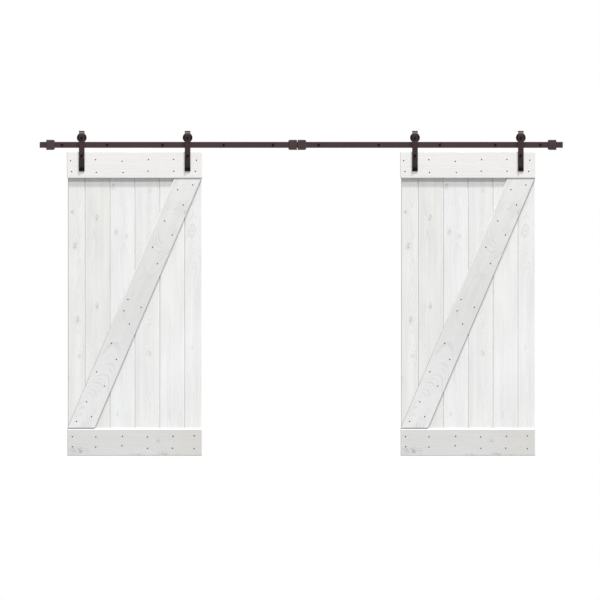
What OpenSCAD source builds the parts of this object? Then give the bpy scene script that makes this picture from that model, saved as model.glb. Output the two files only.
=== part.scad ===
// A pair of plank barn doors that hang from one flat wall rail on strap hangers.
// Millimetres. X runs along the rail, Y runs into the wall and Z is up.
// The origin is on the wall plane, behind the middle of the rail.

/* [Rail] */
// Length of the whole rail, both bars together
rail_length = 3668; // [3500:1:4000]
// Height of the flat bar
rail_height = 42; // [36:1:48]
// Thickness of the flat bar
rail_thickness = 6; // [5:0.5:8]
// Place of the joint between the two bars, along the rail
joint_x = -28; // [-60:1:60]
// Corner cut at the rail's two free ends
rail_corner = 3; // [1:0.5:6]

/* [Wall fixings] */
// Distances of the four mirrored bolts from the rail's ends
bolt_places = [1290, 862, 473, 157]; // [100:1:1400]
// Distance of the bolts beside the bar joint from a line between them
joint_bolt_reach = 160; // [120:1:200]
// Place of that line, measured from the bar joint
joint_bolt_shift = -10; // [-20:1:20]
// Length of the spacer tube between bar and wall
standoff_length = 38; // [36:1:60]
// Outside diameter of the spacer tube
standoff_diameter = 22; // [18:1:26]
// Shank diameter of a lag bolt
lag_shank = 8; // [7:0.5:9]
// Diameter of a lag bolt's thread core, in the wall
lag_core = 6.8; // [6:0.1:7]
// Depth that a lag bolt goes into the wall
lag_depth = 57; // [40:1:70]
// Length of a lag bolt's point
lag_point = 7; // [4:1:10]
// Width across flats of a lag bolt's head
lag_head_width = 13; // [12:0.5:15]
// Height of a lag bolt's head
lag_head_height = 5.5; // [4:0.1:6]
// Outside diameter of the washer under it
lag_washer_diameter = 17; // [16:0.5:22]
// Thickness of that washer
lag_washer_thickness = 1.6; // [1:0.1:2]

/* [Stops] */
// Length of a stop's steel sleeve along the rail
stop_sleeve = 52; // [44:1:60]
// Height of a stop
stop_height = 71; // [64:1:76]
// Wall of the sleeve in front of the bar and behind it
stop_wall = 6; // [5:0.5:8]
// Cut along the sleeve's four long edges
stop_edge = 3; // [1:0.5:5]
// Length of the rubber buffer on the sleeve's face
buffer_length = 8; // [5:0.5:12]
// How much the buffer narrows on each side towards its face
buffer_taper = 3; // [1:0.5:4]
// Distance from a rail end to the outer face of its end stop
end_stop_inset = 46; // [20:1:80]
// Distance of a centre stop from the bar joint
centre_stop_gap = 2; // [1:0.5:5]
// Diameter of the grub screws behind a sleeve
grub_diameter = 6; // [5:0.5:8]
// Length of a grub screw
grub_length = 8; // [7:0.5:10]
// Distance of a grub screw from the rail's centre line
grub_rise = 10; // [8:0.5:12]
// Width across flats of a grub screw's socket
grub_socket = 3; // [2.5:0.1:4]

/* [Doors] */
// Width over a door's planks
door_width = 936; // [880:1:1000]
// Height of a door
door_height = 2130; // [1900:1:2300]
// Distance of each door's middle from the rail's end on its side
door_place = 666; // [640:1:720]
// Gap from the rail's lower edge to a door's top
door_drop = 27.6; // [24:0.1:40]
// Thickness of a plank
plank_thickness = 19; // [18:0.5:24]
// Face width of the plank at either side of a door, which carries a hanger
plank_cover = 118.8; // [110:0.1:140]
// Width and depth of the V cut along a plank's front edges
plank_vee = 4.5; // [2:0.1:5]
// Thickness of a plank's tongue
tongue_thickness = 6; // [5:0.1:7]
// Length of a plank's tongue
tongue_length = 8; // [6:0.1:10]

/* [Trim boards] */
// Thickness of the header, brace and foot boards
trim_thickness = 19; // [18:0.5:24]
// Height of the header board
header_height = 184; // [180:1:210]
// How far the header stands out past the planks on each side
header_overhang = 7; // [0:0.5:12]
// Height of the foot board
foot_height = 194; // [180:1:210]
// How far the foot board stands out past the planks on each side
foot_overhang = 3.5; // [0:0.5:12]
// Height of the bevel along the foot board's top
foot_bevel_height = 12; // [6:0.5:16]
// Depth of that bevel
foot_bevel_depth = 7; // [4:0.5:10]
// Width of the brace board
brace_width = 177.5; // [150:0.5:200]
// Cut along the other front edges of the trim boards
trim_edge = 3; // [1:0.5:5]

/* [Board screws] */
// Diameter of a screw's head
screw_head = 9; // [8:0.1:10]
// Height of the cone under a screw's head
screw_cone = 2.8; // [2:0.1:3.5]
// Shank diameter of a screw
screw_shank = 4; // [3.5:0.1:5]
// Length of a screw
screw_length = 32; // [28:0.5:36]
// Length of a screw's point
screw_point = 6; // [4:0.5:8]
// Distance of the header's two screw rows from the door's top
header_rows = [59, 140]; // [30:0.5:150]
// Distance of the foot's two screw rows from the door's bottom
foot_rows = [57.5, 134]; // [30:0.5:150]
// Distances of the brace's two screw lines from its left and right edges
brace_lines = [44.375, 47.925]; // [30:0.025:60]

/* [Hangers] */
// Distance of a hanger's middle from the side of the door
hanger_offset = 97; // [80:0.5:110]
// Width of the strap
strap_width = 40; // [36:0.5:44]
// Thickness of the strap
strap_thickness = 6; // [5:0.5:7]
// How far the strap reaches below the door's top
strap_reach = 135.4; // [132:0.1:160]
// Height of the bend's centre over the axle
strap_bend_rise = 30.5; // [29:0.1:40]
// How far the strap's back leg reaches below the axle
back_leg_reach = 21; // [18:0.5:24]
// Cut at the two corners of the back leg's end
back_leg_corner = 9; // [4:0.5:12]
// Distance of the two strap bolts from the door's top
strap_bolt_drops = [26, 117.8]; // [20:0.1:120]
// Shank diameter of the strap bolts and axle bolts
bolt_shank = 10; // [9:0.1:11]
// Width across flats of their heads and nuts
bolt_width = 17; // [16:0.5:19]
// Height of a bolt's head
bolt_head_height = 6.4; // [5:0.1:7]
// Height of a nut
nut_height = 8.4; // [7:0.1:9]
// How far a bolt's tip stands out of its nut
bolt_tip = 1.6; // [1:0.1:2]
// Outside diameter of the washer under a strap bolt's nut
strap_washer_diameter = 20; // [19:0.5:24]
// Thickness of that washer
strap_washer_thickness = 2; // [1:0.1:2.5]

/* [Wheels] */
// Diameter over a wheel's flanges
wheel_diameter = 69; // [66:0.5:72]
// Diameter at the bottom of its groove
groove_diameter = 58; // [54:0.5:60]
// Width of a wheel
wheel_width = 20; // [18:0.5:24]
// Gap between a wheel's side and the strap
wheel_side_gap = 2; // [1.5:0.1:3]
// Gap between the groove's bottom corners and the bar's sides
groove_side_gap = 1; // [0.5:0.1:1.5]
// How much the groove widens on each side towards the flanges
groove_flare = 2.2; // [1:0.1:3]
// Depth of the dish in a wheel's sides
wheel_dish = 2.5; // [1:0.1:3]
// Width of the rim outside the dish, below the groove's bottom
wheel_rim = 4; // [3:0.1:5]
// Wall of the hub round the bearing
hub_wall = 4; // [3:0.1:5]
// Rounding cut of a wheel's edges
wheel_edge = 1; // [0.5:0.1:1.5]
// Outside diameter of the bearing
bearing_diameter = 30; // [28:0.5:32]
// Width of the bearing
bearing_width = 14; // [9:0.5:14]
// Thickness of the bearing's two rings
bearing_ring = 2.6; // [2:0.1:3]
// Depth of the seals behind the rings' faces
seal_depth = 0.5; // [0.2:0.1:1]
// Outside diameter of the spacers on the axle
spacer_diameter = 15; // [14:0.1:15.5]

/* [Fits] */
// Gap between the groove and the bar's upper edge
roll_gap = 0.3; // [0.2:0.05:0.4]
// Radial play of an axle in its bearing
axle_play = 0.05; // [0.02:0.01:0.1]
// Radial play of a bearing in its wheel, and of a thread in its nut or sleeve
seat_play = 0.02; // [0.01:0.01:0.05]
// End play between a bearing and its spacers
end_play = 0.15; // [0.1:0.05:0.3]
// Radial clearance of bolts and board screws in their holes
hole_play = 0.3; // [0.1:0.05:0.5]
// Clearance of a stop's sleeve round the bar
sleeve_play = 0.2; // [0.1:0.05:0.4]
// Gap between the shoulders of two planks
seam_gap = 0.3; // [0.1:0.05:0.6]
// Clearance of a tongue in its groove, on each side
tongue_play = 0.25; // [0.1:0.05:0.5]
// Gap between the brace's ends and the boards above and below
brace_gap = 0.5; // [0.2:0.1:1]

/* [Hidden] */
$fn = 64;
HEX = 6;
LEFT = -1;
RIGHT = 1;
OUTER = 1;
INNER = -1;
CUT = 1; // how far a cutting tool runs past the face it cuts

BRONZE = "#4b3f41";
BLACK = "#26231f";
RUBBER = "#1d1c1b";
STEEL = "#9a9a98";
WHITEWASH = "#eceae4";

// Depths, from the wall forwards
rail_back_y = -standoff_length;
rail_mid_y = rail_back_y - rail_thickness / 2;
rail_front_y = rail_back_y - rail_thickness;
lag_seat_y = rail_front_y - lag_washer_thickness;
bend_radius = wheel_width / 2 + wheel_side_gap;
door_front_y = rail_mid_y - bend_radius;
strap_front_y = door_front_y - strap_thickness;
back_leg_y = rail_mid_y + bend_radius;
plank_front_y = door_front_y + trim_thickness;
door_back_y = plank_front_y + plank_thickness;

// Heights, from the rail's centre line
axle_z = rail_height / 2 + roll_gap + groove_diameter / 2;
bend_z = axle_z + strap_bend_rise;
back_leg_z = axle_z - back_leg_reach;
door_top_z = -rail_height / 2 - door_drop;
door_bottom_z = door_top_z - door_height;
header_bottom_z = door_top_z - header_height;
foot_top_z = door_bottom_z + foot_height;
strap_bottom_z = door_top_z - strap_reach;

// The rail's two ends, its bolts, its stops and the doors' middles
rail_end_x = rail_length / 2;
joint_bolts_x = joint_x + joint_bolt_shift;
joint_bolts = [joint_bolts_x - joint_bolt_reach, joint_bolts_x + joint_bolt_reach];
end_bolts = [for (place = bolt_places) rail_end_x - place];
lag_bolt_xs = concat([for (x = end_bolts) -x], joint_bolts, end_bolts);
door_x = rail_end_x - door_place;
// Each stop: place of the sleeve's plain end, and the side that its buffer faces
end_stop_x = rail_end_x - end_stop_inset;
stops = [
    [-end_stop_x, RIGHT],
    [joint_x - centre_stop_gap, LEFT],
    [joint_x + centre_stop_gap, RIGHT],
    [end_stop_x, LEFT],
];
stop_front = rail_thickness / 2 + sleeve_play + stop_wall;

// Planks, counted from the left of a door: those inside share what the two at its sides leave
PLANKS = 6;
inner_cover = (door_width - 2 * plank_cover) / (PLANKS - 2);
function seam_x(k) = (k - PLANKS / 2) * inner_cover;
function plank_left(i) = i == 0 ? -door_width / 2 : seam_x(i);
function plank_right(i) = i == PLANKS - 1 ? door_width / 2 : seam_x(i + 1);
function across_plank(i, share) = plank_left(i) + share * (plank_right(i) - plank_left(i));
// Whether a hole at x meets a plank or its tongue
function meets_plank(i, x, radius) =
    x > plank_left(i) - radius && x < plank_right(i) + tongue_length + radius;

// The brace leans from corner to corner, so its width along the foot board follows from its slope
brace_span = door_width + 2 * foot_overhang;
brace_height = header_bottom_z - foot_top_z - 2 * brace_gap;
brace_square = brace_height * brace_height - brace_width * brace_width;
brace_root = sqrt(
    pow(brace_width * brace_span, 2)
    + brace_square * (pow(brace_height, 2) + pow(brace_span, 2))
);
brace_foot = brace_width * (brace_root - brace_width * brace_span) / brace_square;
brace_run = brace_span - brace_foot;
brace_lean = atan(brace_run / brace_height);
// Its sawn ends have half the edge cut of its sides
brace_end_edge = trim_edge / 2;

// Places of the hand-driven screws
// Rows of the header and foot, from the left: share of the plank's width, rise over the row in head widths
header_upper_row = [
    [0.154, -0.38], [0.432, 0.4], [0.496, -0.89], [0.552, 0.51], [0.564, 0.63], [0.71, -0.03],
];
header_lower_row = [
    [0.225, 0.13], [0.46, -0.53], [0.536, -0.69], [0.532, 0.48], [0.572, 0.4], [0.646, 0.29],
];
foot_upper_row = [
    [0.26, -0.17], [0.44, -0.33], [0.508, 0.18], [0.512, -0.37], [0.544, 0.18], [0.574, 0.57],
];
foot_lower_row = [
    [0.266, 0.58], [0.436, 0.27], [0.488, 1.28], [0.52, -0.71], [0.519, -0.59], [0.569, -0.98],
];
// Lines of the brace, from its foot: plank, share of its width, drift from the line in brace widths
brace_left_line = [
    [0, 0.502, -0.025], [1, 0.07, 0.041], [1, 0.476, -0.058], [2, 0.07, 0.036], [2, 0.568, -0.019],
    [2, 0.729, -0.05], [3, 0.721, 0.036], [4, 0.206, 0.065], [4, 0.728, 0.051],
];
brace_right_line = [
    [1, 0.272, -0.024], [1, 0.785, -0.037], [2, 0.271, -0.011], [2, 0.789, -0.093], [3, 0.259, 0.072],
    [3, 0.909, -0.02], [4, 0.504, 0.071], [4, 0.95, 0.009], [5, 0.486, 0.043],
];

// Board screws as [x, z], in the frame of a door's middle
function row_screws(z, places) = [
    for (i = [0 : PLANKS - 1]) [across_plank(i, places[i][0]), z + places[i][1] * screw_head]
];
function line_screws(line, places) = [
    for (p = places)
        let (x = across_plank(p[0], p[1]))
        let (rise = (x + brace_span / 2 - (line + p[2]) * brace_foot) * brace_height / brace_run)
        [x, foot_top_z + brace_gap + rise]
];
header_screws = concat(
    row_screws(door_top_z - header_rows[0], header_upper_row),
    row_screws(door_top_z - header_rows[1], header_lower_row)
);
foot_screws = concat(
    row_screws(door_bottom_z + foot_rows[0], foot_lower_row),
    row_screws(door_bottom_z + foot_rows[1], foot_upper_row)
);
brace_screws = concat(
    line_screws(brace_lines[0] / brace_width, brace_left_line),
    line_screws(1 - brace_lines[1] / brace_width, brace_right_line)
);
all_screws = concat(header_screws, foot_screws, brace_screws);

// The same list from its end to its start
function reversed(list) = [for (i = [len(list) - 1 : -1 : 0]) list[i]];

// Strap bolts as [x, z], in the frame of a door's middle
hanger_reach = door_width / 2 - hanger_offset;
strap_bolt_places = [
    for (x = [-hanger_reach, hanger_reach])
        for (drop = strap_bolt_drops) [x, door_top_z - drop]
];

// Turns a shape drawn upwards so that it points into the wall from [x, y, z]
module into_wall(x, y, z) {
    translate([x, y, z]) rotate([-90, 0, 0]) children();
}

// Extrudes a section drawn in Y and Z along X, over a length centred on x
module along_rail(x, length) {
    translate([x, 0, 0]) rotate([90, 0, 90]) linear_extrude(height = length, center = true) children();
}

// Extrudes an outline drawn in X and Z from front_y towards the wall
module through_depth(front_y, depth) {
    translate([0, front_y + depth, 0]) rotate([90, 0, 0]) linear_extrude(height = depth) children();
}

// Hexagon of a given width across flats
module hexagon(width) {
    circle(d = width / cos(30), $fn = HEX);
}

// Hexagonal head whose free end, at the bottom, has its corners turned off
module hex_head(width, height) {
    corner = (width / cos(30) - width) / 2;
    intersection() {
        linear_extrude(height = height) hexagon(width);
        rotate_extrude() polygon([
            [0, 0],
            [width / 2 - corner / 2, 0],
            [width / 2 + corner, corner],
            [width / 2 + corner, height],
            [0, height],
        ]);
    }
}

// Bolt whose head bears on the plane at the origin and whose shank points up
module hex_bolt(length) {
    translate([0, 0, -bolt_head_height]) hex_head(bolt_width, bolt_head_height);
    cylinder(d = bolt_shank, h = length - bolt_tip);
    translate([0, 0, length - bolt_tip])
        cylinder(d1 = bolt_shank, d2 = bolt_shank - bolt_tip, h = bolt_tip);
}

module hex_nut() {
    difference() {
        mirror([0, 0, 1]) translate([0, 0, -nut_height]) hex_head(bolt_width, nut_height);
        translate([0, 0, -CUT]) cylinder(r = bolt_shank / 2 + seat_play, h = nut_height + 2 * CUT);
    }
}

module ring(outer_diameter, inner_diameter, height) {
    linear_extrude(height = height) difference() {
        circle(d = outer_diameter);
        circle(d = inner_diameter);
    }
}

// Rail

// Bar from its free end on one side to the joint, bored for its own lag bolts
module rail_bar(side) {
    end_x = side * rail_end_x;
    color(BRONZE) difference() {
        through_depth(rail_front_y, rail_thickness) polygon([
            [joint_x, -rail_height / 2],
            [end_x - side * rail_corner, -rail_height / 2],
            [end_x, -rail_height / 2 + rail_corner],
            [end_x, rail_height / 2 - rail_corner],
            [end_x - side * rail_corner, rail_height / 2],
            [joint_x, rail_height / 2],
        ]);
        for (x = lag_bolt_xs)
            if ((x - joint_x) * side > 0)
                into_wall(x, rail_front_y - CUT, 0)
                    cylinder(r = lag_shank / 2 + hole_play, h = rail_thickness + 2 * CUT);
    }
}

module wall_standoffs() {
    color(BRONZE) for (x = lag_bolt_xs)
        into_wall(x, rail_back_y, 0)
            ring(standoff_diameter, lag_shank + 2 * hole_play, standoff_length);
}

module lag_bolts() {
    color(BRONZE) for (x = lag_bolt_xs) {
        into_wall(x, lag_seat_y - lag_head_height, 0) hex_head(lag_head_width, lag_head_height);
        into_wall(x, lag_seat_y, 0) cylinder(d = lag_shank, h = -lag_seat_y);
        into_wall(x, 0, 0) cylinder(d = lag_core, h = lag_depth - lag_point);
        into_wall(x, lag_depth - lag_point, 0) cylinder(d1 = lag_core, d2 = 0, h = lag_point);
    }
}

module lag_washers() {
    color(BRONZE) for (x = lag_bolt_xs)
        into_wall(x, lag_seat_y, 0)
            ring(lag_washer_diameter, lag_shank + 2 * hole_play, lag_washer_thickness);
}

// Stops

// Hole in a stop for the bar, drawn in Y and Z
module bar_slot() {
    translate([rail_mid_y, 0])
        square([rail_thickness + 2 * sleeve_play, rail_height + 2 * sleeve_play], center = true);
}

// Outline of a stop with its long edges cut, drawn in Y and Z
module stop_outline() {
    half = stop_height / 2;
    translate([rail_mid_y, 0]) polygon([
        [-stop_front, stop_edge - half],
        [stop_edge - stop_front, -half],
        [stop_front - stop_edge, -half],
        [stop_front, stop_edge - half],
        [stop_front, half - stop_edge],
        [stop_front - stop_edge, half],
        [stop_edge - stop_front, half],
        [-stop_front, half - stop_edge],
    ]);
}

// Sleeve from its plain end towards the side that its buffer faces
module stop_sleeve_body(stop) {
    middle_x = stop[0] + stop[1] * stop_sleeve / 2;
    color(BRONZE) difference() {
        along_rail(middle_x, stop_sleeve) difference() {
            stop_outline();
            bar_slot();
        }
        for (z = [-grub_rise, grub_rise])
            into_wall(middle_x, rail_back_y, z)
                cylinder(r = grub_diameter / 2 + seat_play, h = stop_wall + sleeve_play + CUT);
    }
}

// Rubber buffers, narrower towards the face that a wheel meets
module stop_buffers() {
    color(RUBBER) for (stop = stops) {
        seat_x = stop[0] + stop[1] * stop_sleeve;
        face_x = seat_x + stop[1] * buffer_length;
        half = stop_height / 2 - stop_edge / 2;
        depth = stop_front - stop_edge / 2;
        difference() {
            intersection() {
                through_depth(rail_mid_y - depth, 2 * depth) polygon([
                    [seat_x, -half],
                    [face_x, buffer_taper - half],
                    [face_x, half - buffer_taper],
                    [seat_x, half],
                ]);
                translate([0, 0, -half]) linear_extrude(height = 2 * half) polygon([
                    [seat_x, rail_mid_y - depth],
                    [face_x, rail_mid_y - depth + buffer_taper],
                    [face_x, rail_mid_y + depth - buffer_taper],
                    [seat_x, rail_mid_y + depth],
                ]);
            }
            along_rail((seat_x + face_x) / 2, buffer_length + 2 * CUT) bar_slot();
        }
    }
}

module stop_set_screws() {
    color(BLACK) for (stop = stops, z = [-grub_rise, grub_rise])
        into_wall(stop[0] + stop[1] * stop_sleeve / 2, rail_back_y, z) difference() {
            cylinder(d = grub_diameter, h = grub_length);
            translate([0, 0, grub_length / 2])
                linear_extrude(height = grub_length) hexagon(grub_socket);
        }
}

// Doors

// Countersunk screw with its head flush at the origin, pointing up
module board_screw() {
    cylinder(d1 = screw_head, d2 = screw_shank, h = screw_cone);
    translate([0, 0, screw_cone]) cylinder(d = screw_shank, h = screw_length - screw_cone - screw_point);
    translate([0, 0, screw_length - screw_point]) cylinder(d1 = screw_shank, d2 = 0, h = screw_point);
}

module board_screws(side) {
    color(BLACK) for (s = all_screws)
        into_wall(side * door_x + s[0], door_front_y, s[1]) board_screw();
}

// Countersunk holes through a trim board
module trim_holes(screws) {
    for (s = screws) {
        into_wall(s[0], door_front_y - CUT, s[1])
            cylinder(r = screw_shank / 2 + hole_play, h = trim_thickness + 2 * CUT);
        into_wall(s[0], door_front_y, s[1])
            cylinder(
                r1 = screw_head / 2 + hole_play, r2 = screw_shank / 2 + hole_play, h = screw_cone
            );
    }
}

// Holes for the strap bolts, right through a door
module strap_bolt_holes(places) {
    for (p = places)
        into_wall(p[0], strap_front_y - CUT, p[1])
            cylinder(r = bolt_shank / 2 + hole_play, h = door_back_y - strap_front_y + 2 * CUT);
}

// Plank section in X and Y: a groove on its left and a tongue on its right, but plain outer edges
module plank_section(i) {
    left = plank_left(i) + (i == 0 ? 0 : seam_gap / 2);
    right = plank_right(i) - (i == PLANKS - 1 ? 0 : seam_gap / 2);
    back = plank_thickness;
    tongue = [back / 2 - tongue_thickness / 2, back / 2 + tongue_thickness / 2];
    tip = right + seam_gap + tongue_length;
    slot = left + tongue_length + tongue_play;
    translate([0, plank_front_y]) polygon(concat(
        [[left, plank_vee], [left + plank_vee, 0], [right - plank_vee, 0], [right, plank_vee]],
        i == PLANKS - 1 ? [] : [[right, tongue[0]], [tip, tongue[0]], [tip, tongue[1]], [right, tongue[1]]],
        [[right, back], [left, back]],
        i == 0 ? [] : [
            [left, tongue[1] + tongue_play],
            [slot + seam_gap, tongue[1] + tongue_play],
            [slot + seam_gap, tongue[0] - tongue_play],
            [left, tongue[0] - tongue_play],
        ]
    ));
}

module plank(side, i) {
    screw_hole = screw_shank / 2 + hole_play;
    bolt_hole = bolt_shank / 2 + hole_play;
    color(WHITEWASH) translate([side * door_x, 0, 0]) difference() {
        translate([0, 0, door_bottom_z]) linear_extrude(height = door_height) plank_section(i);
        for (s = all_screws)
            if (meets_plank(i, s[0], screw_hole))
                into_wall(s[0], plank_front_y - CUT, s[1])
                    cylinder(r = screw_hole, h = screw_length - trim_thickness + 2 * CUT);
        strap_bolt_holes([for (p = strap_bolt_places) if (meets_plank(i, p[0], bolt_hole)) p]);
    }
}

// Section of a trim board in Y and Z, with a bevel of its own along the top
module trim_section(bottom_z, top_z, bevel_height, bevel_depth) {
    translate([door_front_y, 0]) polygon([
        [0, bottom_z + trim_edge],
        [trim_edge, bottom_z],
        [trim_thickness, bottom_z],
        [trim_thickness, top_z],
        [bevel_depth, top_z],
        [0, top_z - bevel_height],
    ]);
}

// Section of a trim board across its width, with its two front corners cut
module cut_corners(half) {
    polygon([
        [-half, trim_thickness],
        [-half, trim_edge],
        [trim_edge - half, 0],
        [half - trim_edge, 0],
        [half, trim_edge],
        [half, trim_thickness],
    ]);
}

// Level board across a door
module level_board(half, bottom_z, top_z, bevel_height, bevel_depth) {
    intersection() {
        along_rail(0, 2 * half) trim_section(bottom_z, top_z, bevel_height, bevel_depth);
        translate([0, door_front_y, bottom_z])
            linear_extrude(height = top_z - bottom_z) cut_corners(half);
    }
}

module header_board(side) {
    color(WHITEWASH) translate([side * door_x, 0, 0]) difference() {
        level_board(door_width / 2 + header_overhang, header_bottom_z, door_top_z, trim_edge, trim_edge);
        trim_holes(header_screws);
        strap_bolt_holes(strap_bolt_places);
    }
}

module foot_board(side) {
    color(WHITEWASH) translate([side * door_x, 0, 0]) difference() {
        level_board(
            door_width / 2 + foot_overhang, door_bottom_z, foot_top_z, foot_bevel_height, foot_bevel_depth
        );
        trim_holes(foot_screws);
    }
}

// Space between the brace's two level saw cuts, drawn in Y and Z
module brace_ends(bottom_z, top_z) {
    reach = brace_end_edge + CUT;
    polygon([
        [door_front_y - CUT, bottom_z + reach],
        [door_front_y + brace_end_edge, bottom_z],
        [plank_front_y + CUT, bottom_z],
        [plank_front_y + CUT, top_z],
        [door_front_y + brace_end_edge, top_z],
        [door_front_y - CUT, top_z - reach],
    ]);
}

// Leaning board from the foot board's left end to the header's right end
module brace_board(side) {
    length = brace_height / cos(brace_lean) + 2 * brace_width;
    bottom_z = foot_top_z + brace_gap;
    middle_z = bottom_z + brace_height / 2;
    color(WHITEWASH) translate([side * door_x, 0, 0]) difference() {
        intersection() {
            translate([0, door_front_y, middle_z]) rotate([0, brace_lean, 0])
                linear_extrude(height = length, center = true) cut_corners(brace_width / 2);
            along_rail(0, brace_span + 2 * brace_width)
                brace_ends(bottom_z, bottom_z + brace_height);
        }
        trim_holes(brace_screws);
    }
}

// Hangers

function hanger_x(side, end) = side * (door_x + end * hanger_reach);

// The strap's bent section in Y and Z
module strap_section() {
    outer = bend_radius + strap_thickness;
    translate([rail_mid_y, bend_z]) intersection() {
        difference() {
            circle(r = outer);
            circle(r = bend_radius);
        }
        translate([-outer, 0]) square([2 * outer, outer]);
    }
    translate([strap_front_y, strap_bottom_z]) square([strap_thickness, bend_z - strap_bottom_z]);
    translate([back_leg_y, back_leg_z]) square([strap_thickness, bend_z - back_leg_z]);
}

module strap(side, end) {
    corner = back_leg_corner;
    color(BRONZE) translate([hanger_x(side, end), 0, 0]) difference() {
        along_rail(0, strap_width) strap_section();
        into_wall(0, strap_front_y - CUT, axle_z)
            cylinder(
                r = bolt_shank / 2 + hole_play,
                h = 2 * (bend_radius + strap_thickness + CUT)
            );
        strap_bolt_holes([for (drop = strap_bolt_drops) [0, door_top_z - drop]]);
        for (turn = [-1, 1])
            through_depth(back_leg_y - CUT, strap_thickness + 2 * CUT) polygon([
                [turn * (strap_width / 2 - corner), back_leg_z],
                [turn * (strap_width / 2 + CUT), back_leg_z + corner + CUT],
                [turn * (strap_width / 2 + CUT), back_leg_z - CUT],
                [turn * (strap_width / 2 - corner), back_leg_z - CUT],
            ]);
    }
}

module strap_bolts(side) {
    stack = door_back_y - strap_front_y + strap_washer_thickness + nut_height + bolt_tip;
    color(BLACK) for (p = strap_bolt_places)
        into_wall(side * door_x + p[0], strap_front_y, p[1]) hex_bolt(stack);
}

module strap_washers(side) {
    color(BLACK) for (p = strap_bolt_places)
        into_wall(side * door_x + p[0], door_back_y, p[1])
            ring(strap_washer_diameter, bolt_shank + 2 * hole_play, strap_washer_thickness);
}

module strap_nuts(side) {
    color(BLACK) for (p = strap_bolt_places)
        into_wall(side * door_x + p[0], door_back_y + strap_washer_thickness, p[1]) hex_nut();
}

module axle_bolts(side) {
    stack = 2 * (bend_radius + strap_thickness) + nut_height + bolt_tip;
    color(BLACK) for (end = [OUTER, INNER])
        into_wall(hanger_x(side, end), strap_front_y, axle_z) hex_bolt(stack);
}

module axle_nuts(side) {
    color(BLACK) for (end = [OUTER, INNER])
        into_wall(hanger_x(side, end), back_leg_y + strap_thickness, axle_z) hex_nut();
}

// Spacers between the strap's legs and the bearing's inner ring
module axle_spacers(side) {
    length = bend_radius - bearing_width / 2 - end_play;
    color(STEEL) for (end = [OUTER, INNER], y = [door_front_y, back_leg_y - length])
        into_wall(hanger_x(side, end), y, axle_z)
            ring(spacer_diameter, bolt_shank + 2 * hole_play, length);
}

// Wheel turned about its axle: a groove for the bar's edge, dished sides and a hub for the bearing
module wheel(side, end) {
    half = wheel_width / 2;
    rim = wheel_diameter / 2;
    groove = groove_diameter / 2;
    groove_half = rail_thickness / 2 + groove_side_gap;
    dish_outer = groove - wheel_rim;
    bore = bearing_diameter / 2 + seat_play;
    dish_inner = bore + hub_wall;
    profile = [
        [groove, groove_half],
        [rim - wheel_edge, groove_half + groove_flare],
        [rim, groove_half + groove_flare + wheel_edge],
        [rim, half - wheel_edge],
        [rim - wheel_edge, half],
        [dish_outer, half],
        [dish_outer - wheel_dish / 2, half - wheel_dish],
        [dish_inner + wheel_dish / 2, half - wheel_dish],
        [dish_inner, half - wheel_dish / 2],
        [bore, half - wheel_dish / 2],
    ];
    color(BLACK) into_wall(hanger_x(side, end), rail_mid_y, axle_z)
        rotate_extrude() polygon(concat(profile, [for (p = reversed(profile)) [p[0], -p[1]]]));
}

// Sealed ball bearing: two rings with a seal a little behind their faces
module bearing(side, end) {
    half = bearing_width / 2;
    bore = bolt_shank / 2 + axle_play;
    outer = bearing_diameter / 2;
    profile = [
        [outer, half - seal_depth],
        [outer - seal_depth, half],
        [outer - bearing_ring, half],
        [outer - bearing_ring, half - seal_depth],
        [bore + bearing_ring, half - seal_depth],
        [bore + bearing_ring, half],
        [bore, half],
    ];
    color(STEEL) into_wall(hanger_x(side, end), rail_mid_y, axle_z)
        rotate_extrude() polygon(concat(profile, [for (p = reversed(profile)) [p[0], -p[1]]]));
}

rail_bar(LEFT);  // rail_bar_left
rail_bar(RIGHT);  // rail_bar_right
wall_standoffs();
lag_bolts();
lag_washers();
stop_sleeve_body(stops[0]);  // end_stop_left
stop_sleeve_body(stops[1]);  // centre_stop_left
stop_sleeve_body(stops[2]);  // centre_stop_right
stop_sleeve_body(stops[3]);  // end_stop_right
stop_buffers();
stop_set_screws();

plank(LEFT, 0);  // left_plank_1
plank(LEFT, 1);  // left_plank_2
plank(LEFT, 2);  // left_plank_3
plank(LEFT, 3);  // left_plank_4
plank(LEFT, 4);  // left_plank_5
plank(LEFT, 5);  // left_plank_6
header_board(LEFT);  // left_header_board
brace_board(LEFT);  // left_brace_board
foot_board(LEFT);  // left_foot_board
board_screws(LEFT);  // left_board_screws
strap(LEFT, OUTER);  // left_outer_strap
strap(LEFT, INNER);  // left_inner_strap
strap_bolts(LEFT);  // left_strap_bolts
strap_washers(LEFT);  // left_strap_washers
strap_nuts(LEFT);  // left_strap_nuts
axle_bolts(LEFT);  // left_axle_bolts
axle_nuts(LEFT);  // left_axle_nuts
axle_spacers(LEFT);  // left_axle_spacers
wheel(LEFT, OUTER);  // left_outer_wheel
bearing(LEFT, OUTER);  // left_outer_bearing
wheel(LEFT, INNER);  // left_inner_wheel
bearing(LEFT, INNER);  // left_inner_bearing

plank(RIGHT, 0);  // right_plank_1
plank(RIGHT, 1);  // right_plank_2
plank(RIGHT, 2);  // right_plank_3
plank(RIGHT, 3);  // right_plank_4
plank(RIGHT, 4);  // right_plank_5
plank(RIGHT, 5);  // right_plank_6
header_board(RIGHT);  // right_header_board
brace_board(RIGHT);  // right_brace_board
foot_board(RIGHT);  // right_foot_board
board_screws(RIGHT);  // right_board_screws
strap(RIGHT, OUTER);  // right_outer_strap
strap(RIGHT, INNER);  // right_inner_strap
strap_bolts(RIGHT);  // right_strap_bolts
strap_washers(RIGHT);  // right_strap_washers
strap_nuts(RIGHT);  // right_strap_nuts
axle_bolts(RIGHT);  // right_axle_bolts
axle_nuts(RIGHT);  // right_axle_nuts
axle_spacers(RIGHT);  // right_axle_spacers
wheel(RIGHT, OUTER);  // right_outer_wheel
bearing(RIGHT, OUTER);  // right_outer_bearing
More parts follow.
